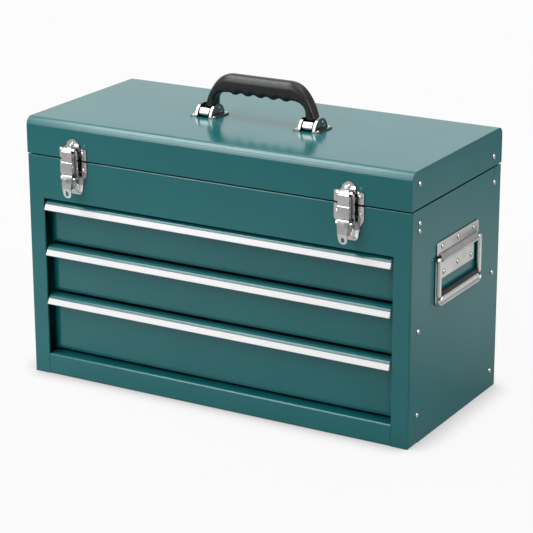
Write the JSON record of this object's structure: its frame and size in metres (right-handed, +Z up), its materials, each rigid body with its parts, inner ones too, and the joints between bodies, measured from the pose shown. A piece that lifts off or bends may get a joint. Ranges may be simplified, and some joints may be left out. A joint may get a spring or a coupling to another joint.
{
  "type": "portable tool box with drawers",
  "caption": "Portable steel tool box with a hinged lid over a top compartment, sliding drawers below, draw latches, a folding carrying handle and drop handles on its ends.",
  "frame": {"origin": "middle of the bottom face, where the box stands", "axes": "+Z up, -Y towards the drawers' front, +X towards the box's right end"},
  "size_m": [0.5334, 0.2621, 0.381],
  "materials": {
    "teal_paint": "satin teal powder coat",
    "zinc_plate": "zinc plated",
    "nickel_plate": "polished nickel plate",
    "black_plastic": "fine matte",
    "black_rubber": "matte",
    "bright_aluminium": "satin bright strip"
  },
  "bodies": {
    "case": {"side_panel_left": "teal_paint", "side_panel_right": "teal_paint", "front_frame": "teal_paint", "back_panel": "teal_paint", "bottom_pan": "teal_paint", "compartment_floor": "teal_paint", "slide_post_left": "teal_paint", "slide_post_right": "teal_paint", "case_slide_top": "zinc_plate", "case_slide_middle": "zinc_plate", "case_slide_bottom": "zinc_plate", "case_rivets": "nickel_plate", "case_small_rivets": "nickel_plate", "hinge_case_leaf": "zinc_plate", "hinge_pin": "zinc_plate", "latch_base_left": "nickel_plate", "latch_base_right": "nickel_plate", "latch_base_pins": "zinc_plate", "side_handle_plate_left": "nickel_plate", "side_handle_plate_right": "nickel_plate", "side_handle_rivets": "nickel_plate"},
    "lid": {"lid_shell": "teal_paint", "lid_end_left": "teal_paint", "lid_end_right": "teal_paint", "lid_rivets": "nickel_plate", "lid_small_rivets": "nickel_plate", "hinge_lid_leaf": "zinc_plate", "latch_keeper_left": "nickel_plate", "latch_keeper_right": "nickel_plate", "handle_foot_left": "nickel_plate", "handle_foot_right": "nickel_plate", "handle_pins": "nickel_plate"},
    "carrying_handle": {"handle_grip": "black_plastic", "handle_knuckle_left": "nickel_plate", "handle_knuckle_right": "nickel_plate"},
    "latch_lever_left": {"latch_lever_left": "nickel_plate", "latch_lever_pin_left": "zinc_plate"},
    "latch_claw_left": {"latch_claw_left": "nickel_plate"},
    "side_bail_left": {"side_bail_left": "nickel_plate", "side_bail_rod_left": "nickel_plate", "side_bail_grip_left": "black_rubber"},
    "latch_lever_right": {"latch_lever_right": "nickel_plate", "latch_lever_pin_right": "zinc_plate"},
    "latch_claw_right": {"latch_claw_right": "nickel_plate"},
    "side_bail_right": {"side_bail_right": "nickel_plate", "side_bail_rod_right": "nickel_plate", "side_bail_grip_right": "black_rubber"},
    "drawer_top": {"drawer_tray_top": "teal_paint", "drawer_front_top": "teal_paint", "drawer_pull_top": "bright_aluminium", "drawer_slides_top": "zinc_plate"},
    "drawer_middle": {"drawer_tray_middle": "teal_paint", "drawer_front_middle": "teal_paint", "drawer_pull_middle": "bright_aluminium", "drawer_slides_middle": "zinc_plate"},
    "drawer_bottom": {"drawer_tray_bottom": "teal_paint", "drawer_front_bottom": "teal_paint", "drawer_pull_bottom": "bright_aluminium", "drawer_slides_bottom": "zinc_plate"}
  },
  "joints": [
    {"name": "lid_hinge", "type": "hinge", "parent": "case", "child": "lid", "pos_m": [0, 0.1227, 0.28175], "axis": [-1, 0, 0], "range_deg": [0, 100]},
    {"name": "carrying_handle_fold", "type": "hinge", "parent": "lid", "child": "carrying_handle", "pos_m": [0, 0.0015, 0.3363], "axis": [-1, 0, 0], "range_deg": [0, 85]},
    {"name": "latch_lever_left_swing", "type": "hinge", "parent": "case", "child": "latch_lever_left", "pos_m": [-0.192, -0.13, 0.277], "axis": [-1, 0, 0], "range_deg": [0, 90]},
    {"name": "latch_claw_left_swing", "type": "hinge", "parent": "latch_lever_left", "child": "latch_claw_left", "pos_m": [-0.192, -0.131, 0.2615], "axis": [-1, 0, 0], "range_deg": [-95, 0]},
    {"name": "side_bail_left_swing", "type": "hinge", "parent": "case", "child": "side_bail_left", "pos_m": [-0.2634, 0, 0.209], "axis": [0, 1, 0], "range_deg": [0, 90]},
    {"name": "latch_lever_right_swing", "type": "hinge", "parent": "case", "child": "latch_lever_right", "pos_m": [0.182, -0.13, 0.277], "axis": [-1, 0, 0], "range_deg": [0, 90]},
    {"name": "latch_claw_right_swing", "type": "hinge", "parent": "latch_lever_right", "child": "latch_claw_right", "pos_m": [0.182, -0.131, 0.2615], "axis": [-1, 0, 0], "range_deg": [-95, 0]},
    {"name": "side_bail_right_swing", "type": "hinge", "parent": "case", "child": "side_bail_right", "pos_m": [0.2634, 0, 0.209], "axis": [0, -1, 0], "range_deg": [0, 90]},
    {"name": "drawer_top_slide", "type": "slide", "parent": "case", "child": "drawer_top", "axis": [0, -1, 0], "range_m": [0, 0.15]},
    {"name": "drawer_middle_slide", "type": "slide", "parent": "case", "child": "drawer_middle", "axis": [0, -1, 0], "range_m": [0, 0.15]},
    {"name": "drawer_bottom_slide", "type": "slide", "parent": "case", "child": "drawer_bottom", "axis": [0, -1, 0], "range_m": [0, 0.15]}
  ],
  "couplings": [
    {"joint": "latch_claw_left_swing", "follows": "latch_lever_left_swing", "ratio": -1.05},
    {"joint": "latch_claw_right_swing", "follows": "latch_lever_right_swing", "ratio": -1.05}
  ]
}
